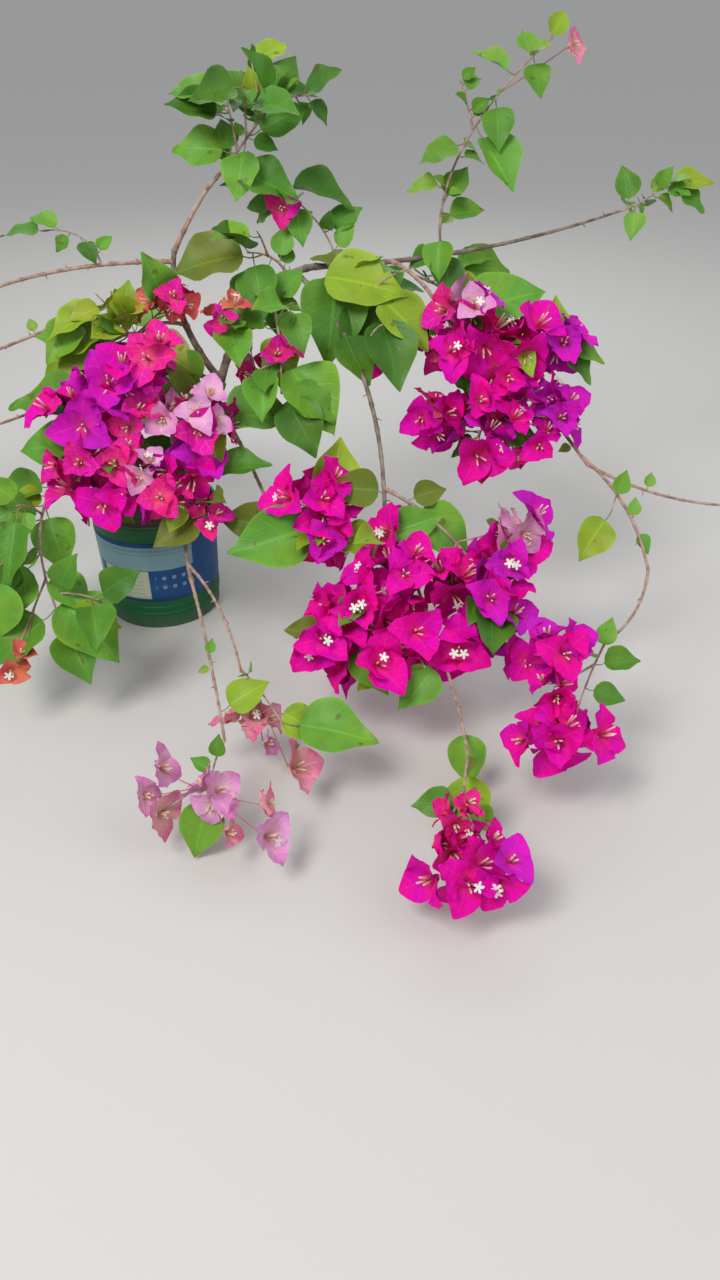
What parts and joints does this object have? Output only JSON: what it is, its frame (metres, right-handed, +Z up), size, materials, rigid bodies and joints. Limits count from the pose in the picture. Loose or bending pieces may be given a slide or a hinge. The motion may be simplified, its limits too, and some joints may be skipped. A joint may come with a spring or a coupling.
{
  "type": "potted bougainvillea",
  "caption": "Bougainvillea bush in a small tapered pail of soil: a leaning trunk with long arching canes, oval green leaves and masses of papery magenta and pink bracts.",
  "frame": {"origin": "centre of the flat underside of the pail", "axes": "+Z up, +X towards the side that the long canes and the blossom hang over, +Y away from the side that the picture shows"},
  "size_m": [1.3574, 0.962, 0.743],
  "materials": {
    "pot_plastic": "satin",
    "potting_soil": "matte",
    "old_bark": "matte",
    "cane_bark": "matte",
    "foliage": "matte",
    "blossom": "matte"
  },
  "bodies": {
    "root": {"pot": "pot_plastic", "soil": "potting_soil", "trunk": "old_bark", "left_stem": "cane_bark", "right_bough": "cane_bark", "long_cane": "cane_bark", "top_left_cane": "cane_bark", "left_back_cane": "cane_bark", "left_front_cane": "cane_bark", "inner_left_cane": "cane_bark", "front_bough": "cane_bark", "tail_cane": "cane_bark", "middle_bough": "cane_bark", "low_right_bough": "cane_bark", "low_right_cane": "cane_bark", "loop_cane_upper": "cane_bark", "loop_cane_lower": "cane_bark", "droop_bough": "cane_bark", "droop_cane_left": "cane_bark", "droop_cane_right": "cane_bark", "inner_cane": "cane_bark", "pot_bough": "cane_bark", "left_low_bough": "cane_bark", "left_low_cane": "cane_bark", "left_middle_cane": "cane_bark", "back_left_bough": "cane_bark", "back_right_bough": "cane_bark", "top_left_leaves": "foliage", "upright_spray": "foliage", "right_tip_spray": "foliage", "thin_cane_spray": "foliage", "crown_leaves_right": "foliage", "crown_leaves_inner": "foliage", "crown_leaves_left": "foliage", "high_crown_leaves": "foliage", "far_left_spray": "foliage", "left_back_outer_spray": "foliage", "left_front_outer_spray": "foliage", "pot_blossom_left": "blossom", "pot_blossom_right": "blossom", "middle_blossom": "blossom", "front_blossom_left": "blossom", "front_blossom_right": "blossom", "inner_blossom": "blossom", "loop_blossom": "blossom", "loop_cane_leaves": "foliage", "tail_blossom": "blossom", "low_droop_blossom": "blossom", "right_droop_leaves": "foliage", "low_right_spray": "foliage", "low_left_leaves": "foliage", "left_low_outer_spray": "foliage", "left_middle_outer_spray": "foliage", "back_left_leaves": "foliage", "back_right_leaves": "foliage", "back_middle_leaves": "foliage"}
  },
  "joints": []
}
